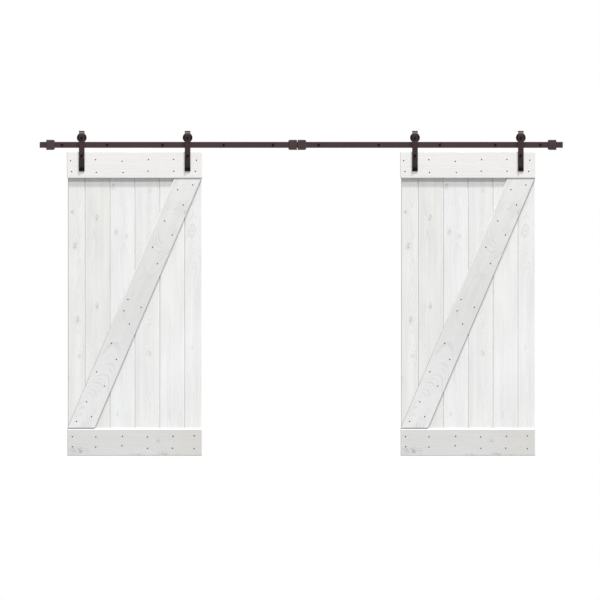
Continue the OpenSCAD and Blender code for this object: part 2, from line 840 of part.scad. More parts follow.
wheel(RIGHT, INNER);  // right_inner_wheel
bearing(RIGHT, INNER);  // right_inner_bearing
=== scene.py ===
"""Looks of a pair of whitewashed plank barn doors on one flat wall rail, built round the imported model."""

import logging
import math
import random
from dataclasses import dataclass, replace
from enum import Enum
from typing import ClassVar

import bmesh
import bpy
from mathutils import Euler, Matrix, Vector


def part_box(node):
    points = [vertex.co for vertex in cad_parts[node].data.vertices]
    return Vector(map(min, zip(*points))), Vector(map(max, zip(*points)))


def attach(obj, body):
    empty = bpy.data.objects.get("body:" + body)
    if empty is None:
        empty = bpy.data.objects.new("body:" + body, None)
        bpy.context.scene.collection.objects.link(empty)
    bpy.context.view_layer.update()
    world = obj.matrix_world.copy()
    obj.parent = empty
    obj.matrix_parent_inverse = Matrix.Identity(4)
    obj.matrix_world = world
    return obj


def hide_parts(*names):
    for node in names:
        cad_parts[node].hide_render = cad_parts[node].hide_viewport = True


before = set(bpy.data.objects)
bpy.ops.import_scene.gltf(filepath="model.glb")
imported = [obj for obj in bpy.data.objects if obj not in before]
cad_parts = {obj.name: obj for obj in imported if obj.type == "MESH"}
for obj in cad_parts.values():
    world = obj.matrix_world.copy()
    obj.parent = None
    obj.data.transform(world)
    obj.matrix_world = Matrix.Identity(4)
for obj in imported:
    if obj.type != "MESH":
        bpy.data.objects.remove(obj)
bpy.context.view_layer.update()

LOG = logging.getLogger("barn_doors")

Socket = bpy.types.NodeSocket
Value = float | Socket
Triple = tuple[float, float, float]
Colour = Triple
Paint = Socket | tuple[float, float, float, float]
Ring = list[bmesh.types.BMVert]

FULL_LEVEL = 255
WHITE = (1.0, 1.0, 1.0, 1.0)


class Side(Enum):
    """The two doors, as seen from the front."""

    LEFT = "left"
    RIGHT = "right"


class Run(Enum):
    """How far a board's grain leans from upright towards the right, in degrees."""

    UPRIGHT = 0.0
    LEANING = 23.18
    LEVEL = 90.0


def linear(colour: Colour) -> tuple[float, float, float, float]:
    """Turns a screen colour into the linear colour that a shader takes.

    Args:
        colour: Red, green and blue levels from 0 to 255.

    Returns:
        Linear red, green and blue, with full alpha.
    """
    shares = [level / FULL_LEVEL for level in colour]
    channels = [s / 12.92 if s <= 0.04045 else ((s + 0.055) / 1.055) ** 2.4 for s in shares]
    return (channels[0], channels[1], channels[2], 1.0)


@dataclass(frozen=True)
class Mottle:
    """An uneven pattern: its swings per metre along X, Y and Z, its finer layers and their strength.

    Where a board's seed moves it, shift says how much, so that a board's patterns don't run together.
    """

    swings: Triple
    layers: float = 2.0
    strength: float = 0.5
    shift: float = 1.0


def even(swings: float, layers: float = 2.0, strength: float = 0.5) -> Mottle:
    """Makes a pattern with as many swings along each axis."""
    return Mottle((swings, swings, swings), layers, strength)


class NodeGraph:
    """A material's nodes, with short calls for the ones that the finishes use."""

    SHIFTS: ClassVar[Triple] = (1.0, 1.7, 2.3)
    BEVEL_RAYS: ClassVar[int] = 6
    FLAT: ClassVar[float] = 0.99
    EDGE: ClassVar[float] = 0.8

    def __init__(self, name: str) -> None:
        """Starts a material with one Principled shader.

        Args:
            name: The material's name.
        """
        self.material = bpy.data.materials.new(name)
        self.material.use_nodes = True
        self.nodes = self.material.node_tree.nodes
        self.links = self.material.node_tree.links
        self.shader = next(n for n in self.nodes if n.type == "BSDF_PRINCIPLED")

    def put(self, socket: Socket, value: object) -> None:
        """Links a socket, or sets a plain value on an input.

        Args:
            socket: The input.
            value: A socket to link from, or a number, vector or colour.
        """
        if isinstance(value, Socket):
            self.links.new(value, socket)
        else:
            socket.default_value = value

    def surface(self, name: str, value: object) -> None:
        """Sets or links one of the shader's own inputs by name."""
        self.put(self.shader.inputs[name], value)

    def finished(self, colour: Socket, roughness: Value, normal: Socket, gloss: float = 0.5,
                 metal: Value = 0.0) -> bpy.types.Material:
        """Joins a finish to the shader.

        Args:
            colour: Its colour.
            roughness: Its roughness.
            normal: Its relief.
            gloss: How strongly it reflects, where it is no bare metal.
            metal: Where it is bare metal.

        Returns:
            The material.
        """
        self.surface("Base Color", colour)
        self.surface("Roughness", roughness)
        self.surface("Normal", normal)
        self.surface("Specular IOR Level", gloss)
        self.surface("Metallic", metal)
        return self.material

    def math(self, operation: str, first: Value, second: Value = 0.0) -> Socket:
        """Adds a Math node.

        Args:
            operation: The node's operation.
            first: First number.
            second: Second number, where the operation takes one.

        Returns:
            The result.
        """
        node = self.nodes.new("ShaderNodeMath")
        node.operation = operation
        self.put(node.inputs[0], first)
        self.put(node.inputs[1], second)
        return node.outputs[0]

    def chain(self, operation: str, values: tuple[Value, ...]) -> Socket:
        """Joins several numbers by one operation, from the left.

        Args:
            operation: The operation of each Math node.
            values: The numbers.

        Returns:
            The result.
        """
        result = values[0]
        for value in values[1:]:
            result = self.math(operation, result, value)
        return result

    def total(self, *values: Value) -> Socket:
        """Adds several numbers up."""
        return self.chain("ADD", values)

    def times(self, *values: Value) -> Socket:
        """Multiplies several numbers."""
        return self.chain("MULTIPLY", values)

    def weighted(self, base: Value, *terms: tuple[Value, float]) -> Socket:
        """Adds numbers to a base, each times its weight."""
        return self.total(base, *(self.times(value, weight) for value, weight in terms))

    def distance(self, first: Socket, second: Socket) -> Socket:
        """Gives the length of a line that goes so far along one axis and so far along another."""
        return self.math("SQRT", self.total(self.times(first, first), self.times(second, second)))

    def fall(self, *factors: Value) -> Socket:
        """Gives e to the power of a product, to fade something out with distance."""
        return self.math("EXPONENT", self.times(*factors))

    def step(self, value: Value, low: float, high: float) -> Socket:
        """Rises smoothly from 0 at low to 1 at high, or falls where low is the larger.

        Args:
            value: The number to map.
            low: Where the result is 0.
            high: Where the result is 1.

        Returns:
            The mapped number, from 0 to 1.
        """
        node = self.nodes.new("ShaderNodeMapRange")
        node.interpolation_type = "SMOOTHSTEP"
        turned = low > high
        self.put(node.inputs["Value"], value)
        node.inputs["From Min"].default_value = min(low, high)
        node.inputs["From Max"].default_value = max(low, high)
        node.inputs["To Min"].default_value = 1.0 if turned else 0.0
        node.inputs["To Max"].default_value = 0.0 if turned else 1.0
        return node.outputs["Result"]

    def place(self) -> Socket:
        """Gives the point on the piece, in the shared frame at rest."""
        return self.nodes.new("ShaderNodeTexCoord").outputs["Object"]

    def board_place(self, centre: Vector, lean: float) -> Socket:
        """Gives the point in a piece's own axes: across in X, through in Y and along in Z.

        Args:
            centre: The piece's centre.
            lean: How far the piece leans from upright, in radians.

        Returns:
            The point.
        """
        node = self.nodes.new("ShaderNodeMapping")
        node.vector_type = "TEXTURE"
        node.inputs["Location"].default_value = centre
        node.inputs["Rotation"].default_value = (0.0, lean, 0.0)
        self.links.new(self.place(), node.inputs["Vector"])
        return node.outputs["Vector"]

    def parts(self, vector: Socket) -> tuple[Socket, Socket, Socket]:
        """Splits a point into its three numbers.

        Args:
            vector: The point.

        Returns:
            Its X, Y and Z.
        """
        node = self.nodes.new("ShaderNodeSeparateXYZ")
        self.links.new(vector, node.inputs[0])
        return node.outputs[0], node.outputs[1], node.outputs[2]

    def mottle(self, point: Socket, pattern: Mottle, seed: float = 0.0) -> Socket:
        """Adds an uneven pattern.

        Args:
            point: The point that it is taken at.
            pattern: Its swings and layers.
            seed: What moves it, so that two boards differ.

        Returns:
            A number round one half.
        """
        scaled = self.nodes.new("ShaderNodeVectorMath")
        scaled.operation = "MULTIPLY_ADD"
        shift = pattern.shift * seed
        self.links.new(point, scaled.inputs[0])
        scaled.inputs[1].default_value = pattern.swings
        scaled.inputs[2].default_value = [factor * shift for factor in self.SHIFTS]
        node = self.nodes.new("ShaderNodeTexNoise")
        self.links.new(scaled.outputs[0], node.inputs["Vector"])
        node.inputs["Scale"].default_value = 1.0
        node.inputs["Detail"].default_value = pattern.layers
        node.inputs["Roughness"].default_value = pattern.strength
        return node.outputs["Fac"]

    def swing(self, point: Socket, pattern: Mottle, seed: float) -> Socket:
        """Adds an uneven pattern that swings round zero."""
        return self.math("SUBTRACT", self.mottle(point, pattern, seed), 0.5)

    def mixed(self, share: Value, first: Paint, second: Paint) -> Socket:
        """Mixes two colours.

        Args:
            share: How much of the second shows.
            first: A linear colour or a socket.
            second: A linear colour or a socket.

        Returns:
            The mixed colour.
        """
        node = self.nodes.new("ShaderNodeMix")
        node.data_type = "RGBA"
        self.put(node.inputs["Factor"], share)
        self.put(node.inputs[6], first)
        self.put(node.inputs[7], second)
        return node.outputs[2]

    def shaded(self, colour: Socket, factor: Socket) -> Socket:
        """Makes a colour darker or lighter.

        Args:
            colour: The colour.
            factor: The brightness that it is multiplied by.

        Returns:
            The new colour.
        """
        node = self.nodes.new("ShaderNodeVectorMath")
        node.operation = "SCALE"
        self.links.new(colour, node.inputs[0])
        self.links.new(factor, node.inputs["Scale"])
        return node.outputs[0]

    def normal(self) -> Socket:
        """Gives the direction that the surface faces."""
        return self.nodes.new("ShaderNodeNewGeometry").outputs["Normal"]

    def relief(self, height: Socket, depth: float, normal: Socket | None = None) -> Socket:
        """Makes a bumped normal.

        Args:
            height: Height, in shares of the depth.
            depth: Depth of the relief, in metres.
            normal: The normal under it, where it isn't the plain one.

        Returns:
            The bumped normal.
        """
        node = self.nodes.new("ShaderNodeBump")
        node.inputs["Distance"].default_value = depth
        self.links.new(height, node.inputs["Height"])
        if normal is not None:
            self.links.new(normal, node.inputs["Normal"])
        return node.outputs["Normal"]

    def soft_edges(self, radius: float) -> tuple[Socket, Socket]:
        """Rounds the edges in the shading alone.

        Args:
            radius: Radius of the rounding, in metres.

        Returns:
            The rounded normal, and a number that rises from 0 on the flats to 1 on the edges.
        """
        rounded = self.nodes.new("ShaderNodeBevel")
        rounded.samples = self.BEVEL_RAYS
        rounded.inputs["Radius"].default_value = radius
        turn = self.nodes.new("ShaderNodeVectorMath")
        turn.operation = "DOT_PRODUCT"
        self.links.new(rounded.outputs["Normal"], turn.inputs[0])
        self.links.new(self.normal(), turn.inputs[1])
        return rounded.outputs["Normal"], self.step(turn.outputs["Value"], self.FLAT, self.EDGE)


@dataclass(frozen=True)
class Knot:
    """A knot or a smudge, in metres.

    Its place is taken from the door's middle line and the rail's centre line.
    """

    x: float
    z: float
    radius: float = 0.008
    stretch: float = 1.6
    shade: float = 0.5


@dataclass(frozen=True)
class BoardFace:
    """What the marks of one board share: its nodes and axes, two small noises, its width and its spots."""

    graph: NodeGraph
    point: Socket
    across: Socket
    through: Socket
    along: Socket
    ripple: Socket
    bend: Socket
    half_width: float
    knots: list[Knot]
    smudges: list[Knot]

    def far_from(self, spot: Knot) -> Socket:
        """Measures how far a point lies from a knot or smudge.

        Args:
            spot: The knot or smudge, in the board's own axes.

        Returns:
            The distance, in shares of its size.
        """
        reaches = (
            (self.across, spot.x, spot.radius),
            (self.along, spot.z, spot.stretch * spot.radius),
        )
        shares = [
            self.graph.weighted(self.bend, (self.graph.math("SUBTRACT", place, middle), 1 / size))
            for place, middle, size in reaches
        ]
        return self.graph.distance(*shares)


@dataclass(frozen=True)
class WhitewashedPine:
    """Whitewash over one sawn pine board, with the growth lines of its own place in the log.

    Lengths are in metres. The heart values place the middle of the log behind the board, figure and arch
    bend its rings, and grain, patches and bands say how strongly lines, clouds and strokes show. The dip
    darkens the middle of the board's length, and the first edge is its left or upper one. On the brace and
    header the edge colours are painted highlight and shade, and the highlight edge, the shaded edge and the
    end line paint highlight, shade and shadow.
    """

    tint: Colour
    seed: float
    heart_across: float = 0.0
    heart_depth: float = 0.05
    heart_rise: float = 0.02
    figure: float = 0.07
    arch: float = 0.0
    ring_width: float = 0.0055
    grain: float = 0.09
    patches: float = 0.17
    bands: float = 0.11
    dip: float = 0.0
    warm: Colour = (234, 231, 223)
    warm_end: float = 0.0
    soil: float = 0.0
    # The next three set painted shade on faces that point down, a painted shadow line below the top end and a
    # painted highlight along the first edge.
    shaded_edge: float = 0.0
    end_shadow: float = 0.0
    painted_highlight_edge: float = 0.0
    edge_width: float = 0.004
    # On the brace and header the edge colours are painted highlight and shade.
    first_edge: Colour = (216, 215, 212)
    first_edge_low: Colour | None = None
    last_edge: Colour = (216, 215, 212)
    knots: tuple[Knot, ...] = ()
    smudges: tuple[Knot, ...] = ()

    KNOT: ClassVar[Colour] = (112, 109, 106)
    DUST: ClassVar[Colour] = (150, 147, 143)
    # Colour of painted shade, on faces that point down and in the line below the brace's top end.
    PAINTED_SHADE: ClassVar[Colour] = (128, 126, 123)
    SOIL: ClassVar[Colour] = (150, 148, 145)
    SAWN: ClassVar[Colour] = (190, 187, 180)
    # Colour of the painted highlight along an edge.
    PAINTED_HIGHLIGHT: ClassVar[Colour] = (254, 254, 254)

    RIPPLE: ClassVar[Mottle] = Mottle((60.0, 60.0, 9.0))
    BEND: ClassVar[Mottle] = Mottle((70.0, 70.0, 40.0))
    BROKEN: ClassVar[Mottle] = Mottle((130.0, 130.0, 75.0))
    WANDER: ClassVar[Mottle] = Mottle((3.0, 3.0, 2.2))
    DRIFT: ClassVar[Mottle] = Mottle((1.2, 1.2, 1.3), shift=3.1)
    SPATTER: ClassVar[Mottle] = Mottle((26.0, 26.0, 11.0), 4.0, 0.6)
    SWIRL: ClassVar[Mottle] = Mottle((95.0, 95.0, 42.0), 3.0, 0.55)
    COVER: ClassVar[Mottle] = Mottle((5.0, 5.0, 2.0), 3.0, shift=2.0)
    BARE: ClassVar[Mottle] = Mottle((11.0, 11.0, 7.0), shift=4.0)
    FIBRE: ClassVar[Mottle] = Mottle((900.0, 900.0, 13.0), 3.0, 0.65)
    STROKE: ClassVar[Mottle] = Mottle((85.0, 85.0, 1.7), 3.0, 0.6)
    CLOUD: ClassVar[Mottle] = Mottle((17.0, 17.0, 2.6), 3.0, shift=5.0)
    BAND: ClassVar[Mottle] = Mottle((32.0, 32.0, 0.7), 1.0, shift=6.0)
    WARMTH: ClassVar[Mottle] = Mottle((4.0, 4.0, 1.1), shift=7.0)

    BEND_REACH: ClassVar[float] = 1.6
    RINGS_PUSHED: ClassVar[float] = 4.0
    KNOT_COVER: ClassVar[float] = 0.8
    WANDER_REACH: ClassVar[float] = 0.06
    ARCH_START: ClassVar[float] = 0.22
    MIDDLE_RATE: ClassVar[float] = 1.9
    RAGGED_EDGE: ClassVar[float] = 0.004
    END_SHADOW_REACH: ClassVar[tuple[float, float]] = (0.011, 0.008)
    RELIEF_DEPTH: ClassVar[float] = 0.00045
    GLOSS: ClassVar[float] = 0.2

    def knot_fields(self, face: BoardFace) -> tuple[Value, Value]:
        """Bends the growth lines round the knots.

        Args:
            face: The board.

        Returns:
            How many growth lines the knots push aside, and how much knot shows.
        """
        graph = face.graph
        broken = graph.step(graph.mottle(face.point, self.BROKEN, self.seed), 0.42, 0.62)
        push: Value = 0.0
        show: Value = 0.0
        for knot in face.knots:
            far = face.far_from(knot)
            push = graph.weighted(push, (graph.fall(far, -0.5), self.RINGS_PUSHED))
            core = graph.times(graph.step(far, 0.6, 0.25), broken, 1.5)
            rim = graph.times(graph.step(far, 0.65, 1.0), graph.step(far, 1.3, 1.0), broken, 1.2)
            halo = graph.times(graph.fall(far, far, -0.45), 0.25)
            show = graph.weighted(show, (graph.total(core, rim, halo), knot.shade))
        return push, show

    def growth_lines(self, face: BoardFace, push: Value) -> Socket:
        """Cuts the board's face through the rings of the log.

        Args:
            face: The board.
            push: How many lines the knots push aside.

        Returns:
            How dark the late wood is, from 0 to about 1.
        """
        graph = face.graph
        wander = graph.swing(face.point, self.WANDER, self.seed)
        drift = graph.swing(face.point, self.DRIFT, self.seed)
        swerve = graph.times(wander, self.WANDER_REACH + self.figure / 2)
        side = graph.total(face.across, swerve, -self.heart_across)
        beyond = graph.total(graph.math("ABSOLUTE", face.along), -self.ARCH_START)
        outward = graph.math("MAXIMUM", beyond, 0.0)
        leaning = graph.weighted(face.through, (face.along, self.heart_rise), (drift, self.figure),
                                 (outward, -self.arch))
        reach = graph.distance(side, graph.total(leaning, self.heart_depth))
        ring = graph.total(graph.times(reach, 1 / self.ring_width), graph.times(face.ripple, 0.55), push)
        share = graph.math("FRACT", ring)
        line = graph.times(graph.step(share, 0.25, 0.88), graph.step(share, 1.0, 0.92))
        year = graph.nodes.new("ShaderNodeTexWhiteNoise")
        year.noise_dimensions = "1D"
        graph.links.new(graph.math("FLOOR", ring), year.inputs["W"])
        return graph.times(line, graph.weighted(0.35, (year.outputs["Value"], 0.8)))

    def thin_wash(self, face: BoardFace, middle: Socket) -> Socket:
        """Tells where the wash is so thin that the growth lines show through.

        Args:
            face: The board.
            middle: How near a point lies to the middle of the board's length.

        Returns:
            How much shows, from 0 to about 1.
        """
        graph = face.graph
        if self.dip:
            bare = graph.step(graph.mottle(face.point, self.BARE, self.seed), 0.4, 0.66)
            return graph.times(graph.total(bare, 0.12), graph.weighted(1.0, (middle, -0.8)))
        cover = graph.step(graph.mottle(face.point, self.COVER, self.seed), 0.3, 0.68)
        return graph.weighted(0.2, (cover, 0.8))

    def washed(self, face: BoardFace) -> Socket:
        """Gives the wash's own colour, warmer in places and towards the end where the board has that.

        Args:
            face: The board.

        Returns:
            The colour.
        """
        graph = face.graph
        warmth = graph.step(graph.mottle(face.point, self.WARMTH, self.seed), 0.35, 0.8)
        if self.warm_end:
            warmth = graph.weighted(warmth, (graph.step(face.along, 0.05, 0.45), self.warm_end))
        return graph.mixed(graph.times(warmth, 0.2), linear(self.tint), linear(self.warm))

    def edged(self, face: BoardFace, colour: Socket) -> Socket:
        """Draws the board's long edges, with painted highlight and shade on the brace and header, its painted
        highlight edge and the painted shadow line at its end.

        Args:
            face: The board.
            colour: The colour of the wash.

        Returns:
            The colour with its edges.
        """
        graph = face.graph
        # Colours along the long edges; on the brace and header they are painted highlight and shade.
        first: Paint = linear(self.first_edge)
        if self.first_edge_low:
            first = graph.mixed(graph.step(face.along, 0.1, -0.5), first, linear(self.first_edge_low))
        inner, outer = face.half_width - self.edge_width, face.half_width - self.edge_width / 4
        for sign, shade in ((-1.0, first), (1.0, linear(self.last_edge))):
            place = graph.weighted(graph.times(face.across, sign), (face.ripple, self.RAGGED_EDGE))
            colour = graph.mixed(graph.step(place, inner, outer), colour, shade)
        # Painted highlight along the first edge of the upper part.
        if self.painted_highlight_edge:
            start, full = self.painted_highlight_edge - face.half_width, 0.6 * self.painted_highlight_edge - face.half_width
            near = graph.times(graph.step(face.across, start, full), graph.step(face.along, -0.2, 0.2))
            colour = graph.mixed(near, colour, linear(self.PAINTED_HIGHLIGHT))
        # Painted shadow line just below the board's top end.
        if self.end_shadow:
            height = graph.weighted(graph.parts(graph.place())[2], (face.ripple, self.RAGGED_EDGE / 2))
            start, full = (self.end_shadow - reach for reach in self.END_SHADOW_REACH)
            end = graph.times(graph.step(height, start, full), 0.8)
            colour = graph.mixed(end, colour, linear(self.PAINTED_SHADE))
        return colour

    def soiled(self, face: BoardFace, colour: Socket) -> Socket:
        """Puts splashes along a board's low edge and smudges where they are listed.

        Args:
            face: The board.
            colour: The colour under the dirt.

        Returns:
            The colour with its dirt.
        """
        graph = face.graph
        spatter = graph.mottle(face.point, self.SPATTER, self.seed)
        low = graph.step(face.across, 0.2 * face.half_width, face.half_width)
        dirt = graph.times(graph.step(spatter, 0.56, 0.76), low, self.soil)
        swirl = graph.step(graph.mottle(face.point, self.SWIRL, self.seed), 0.42, 0.62)
        for smudge in face.smudges:
            far = face.far_from(smudge)
            dirt = graph.total(dirt, graph.times(graph.fall(far, far, -1.0), swirl, smudge.shade))
        return graph.mixed(graph.math("MINIMUM", dirt, 1.0), colour, linear(self.SOIL))

    def turned_away(self, graph: NodeGraph, colour: Socket) -> Socket:
        """Colours the faces that don't look forward: sawn sides, a dusty top and painted shade on faces that
        point down.

        Args:
            graph: The material's nodes.
            colour: The colour of the front.

        Returns:
            The colour of all faces.
        """
        _, outward, upward = graph.parts(graph.normal())
        sideways = graph.step(graph.math("ABSOLUTE", outward), 0.3, 0.1)
        colour = graph.mixed(graph.times(sideways, 0.8), colour, linear(self.SAWN))
        colour = graph.mixed(graph.step(upward, 0.9, 0.98), colour, linear(self.DUST))
        # Painted shade on faces that point down.
        if self.shaded_edge:
            downward = graph.times(graph.step(upward, -0.12, -0.27), self.shaded_edge)
            colour = graph.mixed(downward, colour, linear(self.PAINTED_SHADE))
        return colour

    def material(self, name: str, centre: Vector, lean: float, half_width: float,
                 knots: list[Knot], smudges: list[Knot]) -> bpy.types.Material:
        """Makes the finish for one board.

        Args:
            name: The material's name.
            centre: The board's centre, in the shared frame.
            lean: How far the board leans from upright, in radians.
            half_width: Half of the board's width.
            knots: The knots, in the board's own axes.
            smudges: The smudges, in the board's own axes.

        Returns:
            The material.
        """
        graph = NodeGraph(name)
        point = graph.board_place(centre, lean)
        ripple = graph.swing(point, self.RIPPLE, self.seed)
        bend = graph.times(graph.swing(point, self.BEND, self.seed), self.BEND_REACH)
        face = BoardFace(graph, point, *graph.parts(point), ripple, bend, half_width, knots, smudges)
        push, knot = self.knot_fields(face)
        rate = self.MIDDLE_RATE
        middle = graph.fall(graph.times(face.along, rate), graph.times(face.along, -rate))
        late = graph.times(self.growth_lines(face, push), self.thin_wash(face, middle))
        patterns = (self.FIBRE, self.STROKE, self.CLOUD, self.BAND)
        fibre, stroke, cloud, band = (graph.swing(point, pattern, self.seed) for pattern in patterns)
        tone = graph.weighted(1.0, (late, -self.grain), (fibre, 0.07), (stroke, 0.06), (cloud, self.patches),
                              (band, self.bands), (middle, -self.dip))

        colour = self.edged(face, self.washed(face))
        colour = graph.mixed(graph.math("MINIMUM", knot, self.KNOT_COVER), colour, linear(self.KNOT))
        if self.soil:
            colour = self.soiled(face, colour)
        colour = self.turned_away(graph, colour)
        roughness = graph.weighted(0.62, (stroke, 0.25), (late, 0.12))
        height = graph.weighted(graph.times(late, -0.5), (fibre, 0.9), (stroke, 0.8), (knot, 0.4))
        normal = graph.relief(height, self.RELIEF_DEPTH)
        return graph.finished(graph.shaded(colour, tone), roughness, normal, self.GLOSS)


@dataclass(frozen=True)
class CoatedSteel:
    """Dark bronze coating on flat steel, with a fine peel, a patina and rubbed edges.

    On a strap fade_top, fade_low and cap are the heights where its painted shade and painted highlight
    change. On a bar track is the height of the upper edge, which the wheels have rolled bright.
    """

    colour: Colour = (57, 40, 42)
    patina: Colour = (50, 35, 37)
    rubbed: Colour = (92, 76, 70)
    roughness: float = 0.46
    gloss: float = 0.35
    rub: float = 0.3
    fade_top: float = 0.0
    fade_low: float = 0.0
    cap: float = 0.0
    track: float = 0.0

    TRACK: ClassVar[Colour] = (150, 143, 137)
    # Colour of the painted highlight on a strap's bend.
    BEND_HIGHLIGHT: ClassVar[Colour] = (148, 139, 137)

    CLOUD: ClassVar[Mottle] = Mottle((9.0, 9.0, 13.0), 4.0, 0.6)
    SPECK: ClassVar[Mottle] = even(260.0, 3.0, 0.6)
    PEEL: ClassVar[Mottle] = even(620.0, 1.0)
    STREAK: ClassVar[Mottle] = Mottle((22.0, 900.0, 1.0), 3.0, 0.65)

    EDGE_RADIUS: ClassVar[float] = 0.0012
    PEEL_DEPTH: ClassVar[float] = 0.00012
    # Reaches and strengths of a strap's painted shade below the rail, at its foot and on its cap, and of the
    # painted highlight on its bend.
    UPPER_FADE: ClassVar[float] = 0.05
    UPPER_LOSS: ClassVar[float] = 0.27
    FOOT_FADE: ClassVar[float] = 0.016
    FOOT_LOSS: ClassVar[float] = 0.9
    BEND_REACH: ClassVar[tuple[float, float]] = (0.03, 0.003)
    BEND_HIGHLIGHT_POWER: ClassVar[float] = 1.6
    BEND_HIGHLIGHT_SHARE: ClassVar[float] = 0.55
    CAP_REACH: ClassVar[tuple[float, float]] = (0.005, 0.002)
    CAP_LOSS: ClassVar[float] = 0.94
    TRACK_REACH: ClassVar[tuple[float, float]] = (0.0004, 0.0001)

    def near_top(self, graph: NodeGraph, height: Socket, top: float, reach: tuple[float, float]) -> Socket:
        """Rises from 0 to 1 between two distances below a height."""
        return graph.step(height, top - reach[0], top - reach[1])

    def painted_shading(self, graph: NodeGraph, height: Socket, colour: Socket) -> Socket:
        """Paints shade on a strap below the rail, at its foot and on its cap, and a highlight on its bend, by
        height.

        Args:
            graph: The material's nodes.
            height: The point's height.
            colour: The coating's colour.

        Returns:
            The shaded colour.
        """
        # Masks of the painted shade below the rail and at the foot.
        upper = graph.step(height, self.fade_top - self.UPPER_FADE, self.fade_top)
        foot = graph.step(height, self.fade_low, self.fade_low + self.FOOT_FADE)
        # Painted highlight on the bend.
        bend = graph.math("POWER", self.near_top(graph, height, self.cap, self.BEND_REACH), self.BEND_HIGHLIGHT_POWER)
        colour = graph.mixed(graph.times(bend, self.BEND_HIGHLIGHT_SHARE), colour, linear(self.BEND_HIGHLIGHT))
        # Painted shade below the rail, at the foot and on the cap.
        return graph.shaded(colour, graph.times(
            graph.weighted(1.0 - self.UPPER_LOSS, (upper, self.UPPER_LOSS)),
            graph.weighted(1.0 - self.FOOT_LOSS, (foot, self.FOOT_LOSS)),
            graph.weighted(1.0, (self.near_top(graph, height, self.cap, self.CAP_REACH), -self.CAP_LOSS)),
        ))

    def material(self, name: str) -> bpy.types.Material:
        """Makes the finish.

        Args:
            name: The material's name.

        Returns:
            The material.
        """
        graph = NodeGraph(name)
        point = graph.place()
        height = graph.parts(point)[2]
        cloud, speck, peel = (graph.mottle(point, pattern) for pattern in (self.CLOUD, self.SPECK, self.PEEL))
        normal, edge = graph.soft_edges(self.EDGE_RADIUS)
        colour = graph.mixed(graph.step(cloud, 0.38, 0.72), linear(self.colour), linear(self.patina))
        colour = graph.shaded(colour, graph.weighted(0.9, (speck, 0.2)))
        # Painted shade and highlight along a strap's height.
        if self.fade_low:
            colour = self.painted_shading(graph, height, colour)
        worn = graph.times(edge, graph.step(graph.weighted(speck, (cloud, 0.6)), 0.68, 0.95), self.rub)
        colour = graph.mixed(worn, colour, linear(self.rubbed))
        roughness = graph.weighted(self.roughness - 0.09, (speck, 0.18), (worn, -0.12))
        if self.track:
            streak = graph.step(graph.mottle(point, self.STREAK), 0.4, 0.6)
            rolled = graph.times(self.near_top(graph, height, self.track, self.TRACK_REACH), streak, 0.7)
            colour = graph.mixed(rolled, colour, linear(self.TRACK))
            roughness = graph.weighted(roughness, (rolled, -0.14))
        return graph.finished(colour, roughness, graph.relief(peel, self.PEEL_DEPTH, normal), self.gloss)


@dataclass(frozen=True)
class BlackedSteel:
    """Black oxide on bolts, nuts and screws, thinner where a spanner has turned them."""

    colour: Colour = (13, 10, 10)
    bright: Colour = (54, 48, 45)
    roughness: float = 0.5

    BROWN: ClassVar[Colour] = (32, 24, 25)
    CLOUD: ClassVar[Mottle] = even(120.0, 4.0, 0.6)
    GRIT: ClassVar[Mottle] = even(900.0)
    EDGE_RADIUS: ClassVar[float] = 0.0005
    GRIT_DEPTH: ClassVar[float] = 0.00006
    GLOSS: ClassVar[float] = 0.08

    def material(self, name: str) -> bpy.types.Material:
        """Makes the finish.

        Args:
            name: The material's name.

        Returns:
            The material.
        """
        graph = NodeGraph(name)
        point = graph.place()
        cloud, grit = graph.mottle(point, self.CLOUD), graph.mottle(point, self.GRIT)
        normal, edge = graph.soft_edges(self.EDGE_RADIUS)
        worn = graph.times(edge, graph.step(cloud, 0.42, 0.66), 0.6)
        colour = graph.mixed(worn, linear(self.colour), linear(self.bright))
        colour = graph.shaded(colour, graph.weighted(0.75, (cloud, 0.5)))
        roughness = graph.weighted(self.roughness - 0.1, (grit, 0.2), (worn, -0.1))
        return graph.finished(colour, roughness, graph.relief(grit, self.GRIT_DEPTH, normal), self.GLOSS)


@dataclass(frozen=True)
class MouldedNylon:
    """Black nylon turned to size, with faint turning lines and dust in the dish."""

    colour: Colour = (24, 20, 20)
    dust: Colour = (66, 58, 56)

    GRIT: ClassVar[Mottle] = even(480.0, 3.0, 0.6)
    CLOUD: ClassVar[Mottle] = even(60.0, 3.0)
    TURNING: ClassVar[float] = 9000.0
    DISH_INNER: ClassVar[tuple[float, float]] = (0.0185, 0.0205)
    DISH_OUTER: ClassVar[tuple[float, float]] = (0.0265, 0.0245)
    TURNING_DEPTH: ClassVar[float] = 0.00005
    GLOSS: ClassVar[float] = 0.2

    def material(self, name: str, centre: Vector) -> bpy.types.Material:
        """Makes the finish for one wheel.

        Args:
            name: The material's name.
            centre: The wheel's centre.

        Returns:
            The material.
        """
        graph = NodeGraph(name)
        point = graph.board_place(centre, 0.0)
        x, _, z = graph.parts(point)
        radius = graph.distance(x, z)
        turning = graph.math("SINE", graph.times(radius, self.TURNING))
        grit, cloud = graph.mottle(point, self.GRIT), graph.mottle(point, self.CLOUD)
        dish = graph.times(graph.step(radius, *self.DISH_OUTER), graph.step(radius, *self.DISH_INNER))
        dusty = graph.times(dish, graph.step(cloud, 0.4, 0.7), 0.22)
        colour = graph.mixed(dusty, linear(self.colour), linear(self.dust))
        colour = graph.shaded(colour, graph.weighted(0.85, (grit, 0.3)))
        roughness = graph.weighted(0.36, (grit, 0.2), (dusty, 0.8))
        normal = graph.relief(graph.weighted(grit, (turning, 0.25)), self.TURNING_DEPTH)
        return graph.finished(colour, roughness, normal, self.GLOSS)


